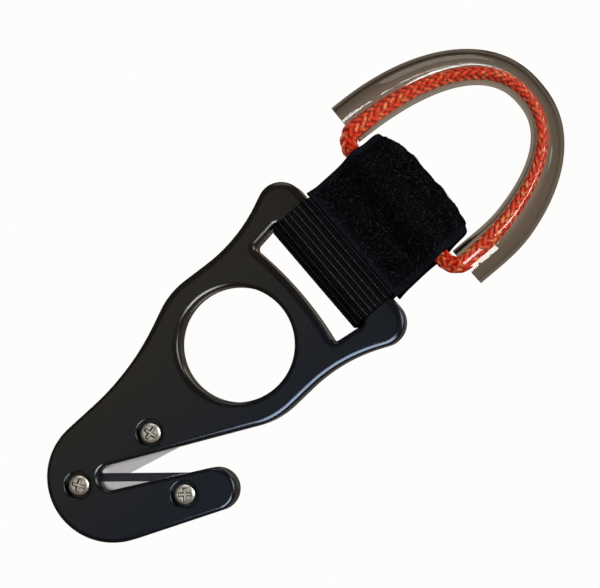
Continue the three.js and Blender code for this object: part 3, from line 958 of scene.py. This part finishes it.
def make_seams(material):
    """Stitches that dip into the tape at both ends, in a row on each face for every seam."""
    half = (STITCHES - 1) * STITCH / 2
    upward = np.array([0, 0, 1.0])
    for name, height in SEAMS.items():
        built = Builder()
        face = float(layer_y(height)) + WEBBING_THICKNESS / 2 + FABRIC_GAP + TAPE_THICKNESS
        for side in (-1, 1):
            for k in range(STITCHES - 1):
                u = np.linspace(0, 1, 15)
                x = -half + STITCH * (k + 0.04 + 0.92 * u)
                y = side * (face - 0.12 - 0.7 * np.abs(2 * u - 1) ** 8)
                path = np.stack([x, y, np.full(len(u), height)], 1)
                lain = askew(path)
                across = np.cross(tangents(lain), upward)
                first, second = (upward, THREAD_RADIUS), (across, THREAD_RADIUS)
                built.grid(rings_round(lain, first, second, 10))
        seam = built.piece(name + "_thread", material, "black_thread")
        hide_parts(name)
        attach(seam, "strap")


# ---------------------------------------------------------------- pull loop


def loop_path(size, height):
    """From the right leg over the top to the left leg, with both ends at a height."""
    half, rise = size
    start = math.asin(((height - LOOP_BASE) / rise) ** (LOOP_POWER / 2))
    angle = np.linspace(start, math.pi - start, LOOP_STEPS)
    cos, sin = np.cos(angle), np.sin(angle)
    x = half * np.sign(cos) * np.abs(cos) ** (2 / LOOP_POWER)
    z = LOOP_BASE + rise * sin ** (2 / LOOP_POWER)
    return np.stack([x, np.zeros(LOOP_STEPS), z], 1)


def moved_aside(path):
    return path + [LOOP_OFFSET, 0, 0]


def make_tube(material):
    """Outer and inner wall in one closed skin, with its two cut ends. inward is 1 on the side
    of the wall that faces the cord and the loop's middle, and 0 on the other."""
    path, along = resampled(moved_aside(loop_path(TUBE_PATH, TUBE_END)), 0.6)
    path[:, 0] -= RIGHT_LEG_LEAN * smooth((68 - path[:, 2]) / 15) * (path[:, 0] > 0)
    bend = np.sin(math.pi * along / along[-1]) ** 3
    across = np.cross(tangents(path), LOOP_FACING)
    walls = []
    for shrink in (0, TUBE_WALL):
        high = TUBE_RADIUS - shrink + TUBE_SPREAD * bend
        wide = TUBE_RADIUS - shrink - TUBE_FLATTENING * bend
        walls.append(rings_round(path, (LOOP_FACING, high), (across, wide), TUBE_SIDES))
    skin = np.concatenate([walls[0], walls[1][::-1], walls[0][:1]], 0)
    angles = np.arange(TUBE_SIDES) * 2 * math.pi / TUBE_SIDES
    inward = np.broadcast_to(0.5 + 0.5 * np.sin(angles), skin.shape[:2])
    built = Builder()
    built.grid(skin, caps=False, inward=inward)
    sharp = SHARP["soft"]
    tube = built.piece("clear_tube_skin", material, "clear_pvc", sharp=sharp, merge=WELD)
    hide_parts("clear_tube")
    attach(tube, "pull_loop")
    return tube


def cord_path():
    radius = CORD_PATH[0] - CORD_BEND_START
    turn = np.linspace(0, math.pi / 2, 40)[:-1]
    corner = np.stack(
        [
            CORD_BEND_START + radius * np.sin(turn),
            np.zeros(len(turn)),
            CORD_AXIS + radius * (1 - np.cos(turn)),
        ],
        1,
    )
    right = np.vstack([[CORD_JOIN, 0, CORD_AXIS], corner])
    left = right[::-1] * [-1, 1, 1]
    path = np.vstack([right, loop_path(CORD_PATH, CORD_AXIS + radius), left])
    return resampled(moved_aside(path), 0.22)


def make_cord(material):
    """Sixteen strands, half of them each way, braided over and under one another round a dark
    core that follows the loop. depth, lane, along and sheathed mark them for the material. depth
    is painted shade: lower where a strand dips under another and towards its edges, and zero on
    the core, which is painted dark for the shade between the strands. sheathed is painted light:
    the material paints the cord lighter inside the tube."""
    path, along = cord_path()
    bend = smooth(np.sin(math.pi * (along / along[-1])) ** 2 * 1.6 - 0.35)
    wide = CORD_WIDE[0] + CORD_WIDE[1] * bend
    high = CORD_HIGH[0] + CORD_HIGH[1] * bend
    across = np.cross(tangents(path), LOOP_FACING)
    built = Builder()
    core = rings_round(path, (LOOP_FACING, high - BRAID_LIFT), (across, wide - BRAID_LIFT), 24)
    # Painted shade: the core gets depth 0, so the material paints it fully dark, standing in for
    # the shade seen between the strands.
    dark = np.zeros(core.shape[:2])
    built.grid(core, depth=dark, lane=dark, along=dark, sheathed=dark)
    # Painted light: sheathed is 1 inside the tube, where the material paints the cord lighter.
    sheathed = smooth(path[:, 2] - TUBE_END)[:, None]
    sides = 10
    angles = np.arange(sides) * 2 * math.pi / sides
    turned = 2 * math.pi * along / BRAID_TURN
    for way in (1, -1):
        for strand in range(BRAID_STRANDS):
            theta = way * turned + strand * 2 * math.pi / BRAID_STRANDS
            over = math.pi * strand - math.pi / 4 + way * turned * BRAID_STRANDS / 2
            weave = way * np.cos(over)
            out = BRAID_LIFT * weave
            radial = np.cos(theta)[:, None] * across + np.sin(theta)[:, None] * LOOP_FACING
            centre = (
                path
                + ((wide + out) * np.cos(theta))[:, None] * across
                + ((high + out) * np.sin(theta))[:, None] * LOOP_FACING
            )
            side = np.cross(tangents(centre), radial)
            side /= np.linalg.norm(side, axis=1)[:, None]
            width = STRAND_WIDE[0] + STRAND_WIDE[1] * bend
            rings = rings_round(centre, (side, width), (radial, STRAND_HIGH), sides)
            shape = rings.shape[:2]
            lane = np.broadcast_to(np.cos(angles), shape)
            # Painted shade: a strand is painted darker where it passes under another and towards
            # its edges.
            lit = smooth(0.58 + 0.5 * weave)[:, None] * (1 - 0.8 * np.abs(lane) ** 3)
            run = np.broadcast_to(along[:, None], shape)
            inside = np.broadcast_to(sheathed, shape)
            built.grid(rings, depth=lit, lane=lane, along=run, sheathed=inside)
    cord = built.piece("pull_cord_braid", material, "red_cord")
    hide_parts("pull_cord")
    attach(cord, "pull_loop")


# ---------------------------------------------------------------- camera, lamps and floor


def light(name, place, aim, size, radiance, colour, only=None, diffuse=True):
    """A softbox (width, height), named by the brightness that it shows, whatever its size. It
    can be kept to some pieces, and be no more than a highlight on them."""
    data = bpy.data.lights.new(name, "AREA")
    data.shape = "RECTANGLE"
    data.size, data.size_y = size[0] * MM, size[1] * MM
    data.energy = radiance * math.pi * data.size * data.size_y
    data.color = colour
    lamp = bpy.data.objects.new(name, data)
    lamp.location = at(*place)
    lamp.visible_transmission = False
    lamp.visible_diffuse = diffuse
    lamp.rotation_mode = "QUATERNION"
    lamp.rotation_quaternion = (Vector(at(*aim)) - Vector(at(*place))).to_track_quat("-Z", "Y")
    bpy.context.scene.collection.objects.link(lamp)
    if only:
        lamp.light_linking.receiver_collection = bpy.data.collections.new(name + "_receivers")
        for piece in only:
            lamp.light_linking.receiver_collection.objects.link(piece)


def make_lights(plates, tube):
    """Panels for all the pieces or for all but the tube, then strips that are seen as
    highlights on the plates' edges and on the tube."""
    warm, cool, plain = (1.0, 0.93, 0.84), (0.90, 0.95, 1.0), (1.0, 0.99, 0.98)
    amber = (1.0, 0.82, 0.64)
    others = [o for o in bpy.context.scene.objects if o.type == "MESH" and o is not tube]
    light("front_panel", (-95, -520, -150), (6, 0, -36), (320, 320), 0.50, plain)
    light("top_panel", (260, -330, 520), (0, 0, 30), (440, 440), 8.2, plain, others)
    light("left_panel", (-420, -260, 260), (0, 0, 20), (300, 300), 2.2, warm)
    light("rear_panel", (-150, 420, 360), (0, 0, 20), (360, 360), 1.6, amber, others)
    light("back_panel", (-320, 430, -140), (0, 0, 10), (260, 260), 5.0, plain, others)
    light("edge_panel", (250, -350, -95), (20, 0, -20), (200, 230), 22.0, cool, plates, False)
    for name, place, size, radiance in (
        ("left_end_glint", (-120, -480, 46), (130, 14), 14.0),
        ("left_top_glint", (36, -480, -18), (190, 44), 20.0),
        ("right_end_glint", (290, -475, 56), (260, 26), 22.0),
        ("right_bend_glint", (264, -330, 364), (90, 90), 5.0),
    ):
        light(name, place, LOOP_CENTRE, size, radiance, plain, [tube], False)


def make_world():
    """White to the camera, dim to what reflects it and brown to what looks through the tube,
    where the directions far from straight through are darker and draw the tube's walls."""
    world = bpy.data.worlds.new("studio")
    bpy.context.scene.world = world
    s = Shader("studio", world)
    rays = s.node("LightPath").outputs
    direction = s.node("SeparateXYZ", {0: s.node("TexCoord").outputs["Generated"]})
    straight = s.math("ABSOLUTE", direction.outputs["Y"])
    through = s.ramp(straight, (0.45, (0.02, 0.016, 0.012)), (0.97, (0.26, 0.215, 0.17)))
    seen = s.node("Background", {"Color": (0.16, 0.13, 0.105, 1)}).outputs[0]
    for test, colour in (("Is Transmission Ray", through), ("Is Camera Ray", WHITE)):
        shown = s.node("Background", {"Color": colour}).outputs[0]
        seen = s.node("MixShader", {0: rays[test], 1: seen, 2: shown}).outputs[0]
    s.node("OutputWorld", {"Surface": seen})


def make_floor():
    """Pale paper to the light, and plain white to the camera."""
    s = Shader("pale_floor")
    paper = s.noise(8.0, 2)
    tone = s.ramp(paper, (0.3, 0.88), (0.7, 0.90))
    diffuse = s.node("BsdfDiffuse", {"Color": tone})
    glow = s.node("Emission", {"Color": WHITE, "Strength": 1.0})
    seen = s.node("LightPath").outputs["Is Camera Ray"]
    both = s.node("MixShader", {0: seen, 1: diffuse.outputs[0], 2: glow.outputs[0]})
    material = s.finish(both.outputs[0])
    mesh = bpy.data.meshes.new("floor")
    quarters = ((-1, -1), (1, -1), (1, 1), (-1, 1))
    corners = [(x * FLOOR_REACH, y * FLOOR_REACH, -FLOOR_DROP) for x, y in quarters]
    mesh.from_pydata(corners, [], [(0, 1, 2, 3)])
    mesh.materials.append(material)
    floor = bpy.data.objects.new("floor", mesh)
    bpy.context.scene.collection.objects.link(floor)
    floor.visible_transmission = False
    floor.visible_glossy = False


def make_camera():
    """Parallel to the knife's face and off to one side of it, turned so that the knife lies
    across the frame. The lens shift that this needs fades out when the camera is moved."""
    right = Vector((math.cos(FRAME_TURN), 0, math.sin(FRAME_TURN)))
    up = Vector((-math.sin(FRAME_TURN), 0, math.cos(FRAME_TURN)))
    data = bpy.data.cameras.new("camera")
    data.sensor_width = SENSOR
    data.lens = LENS
    data.clip_start = 10 * MM
    camera = bpy.data.objects.new("camera", data)
    turn = Matrix((right, up, right.cross(up))).transposed()
    camera.rotation_mode = "QUATERNION"
    camera.rotation_quaternion = turn.to_quaternion()
    camera.location = at(*EYE)
    bpy.context.scene.collection.objects.link(camera)
    bpy.context.scene.camera = camera
    spot = bpy.data.objects.new("camera_spot", None)
    spot.location = camera.location
    bpy.context.scene.collection.objects.link(spot)
    frame_width = (abs(EYE[1]) - PLATE) * SENSOR / LENS
    offset = Vector((CENTRE[0] - EYE[0], 0, CENTRE[2] - EYE[2]))
    for which, axis in (("shift_x", right), ("shift_y", up)):
        curve = data.driver_add(which)
        for modifier in list(curve.modifiers):
            curve.modifiers.remove(modifier)
        curve.driver.type = "SUM"
        distance = curve.driver.variables.new()
        distance.type = "LOC_DIFF"
        distance.targets[0].id = camera
        distance.targets[1].id = spot
        for away, value in ((0, offset.dot(axis) / frame_width), (SHIFT_FADES, 0)):
            key = curve.keyframe_points.insert(away, value)
            key.interpolation = "LINEAR"


# ---------------------------------------------------------------- the whole object


def finish_cad_node(name, material):
    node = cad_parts[name]
    node.data.materials.clear()
    node.data.materials.append(material)


black = anodised_black()
plates = []
for plate_name, is_front in (("front_plate", True), ("back_plate", False)):
    plate = make_plate(plate_name + "_finish", is_front, black)
    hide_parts(plate_name)
    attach(plate, "knife")
    plates.append(plate)

steel = blade_steel()
finish_cad_node("upper_blade", steel)
finish_cad_node("lower_blade", steel)
finish_cad_node("cord_join_sleeve", sleeve_thread())

screw_finish = screw_steel()
for screw_name, (along_mouth, across_mouth, turned) in SCREWS.items():
    make_screw(screw_name, along_mouth, across_mouth, turned, screw_finish)

make_webbing(black_webbing())
make_tape(black_pile(), pile_fibre())
make_seams(black_thread())
make_cord(red_cord())
tube = make_tube(clear_pvc())

make_world()
make_floor()
make_lights(plates, tube)
make_camera()
bpy.context.scene.view_settings.view_transform = "Standard"
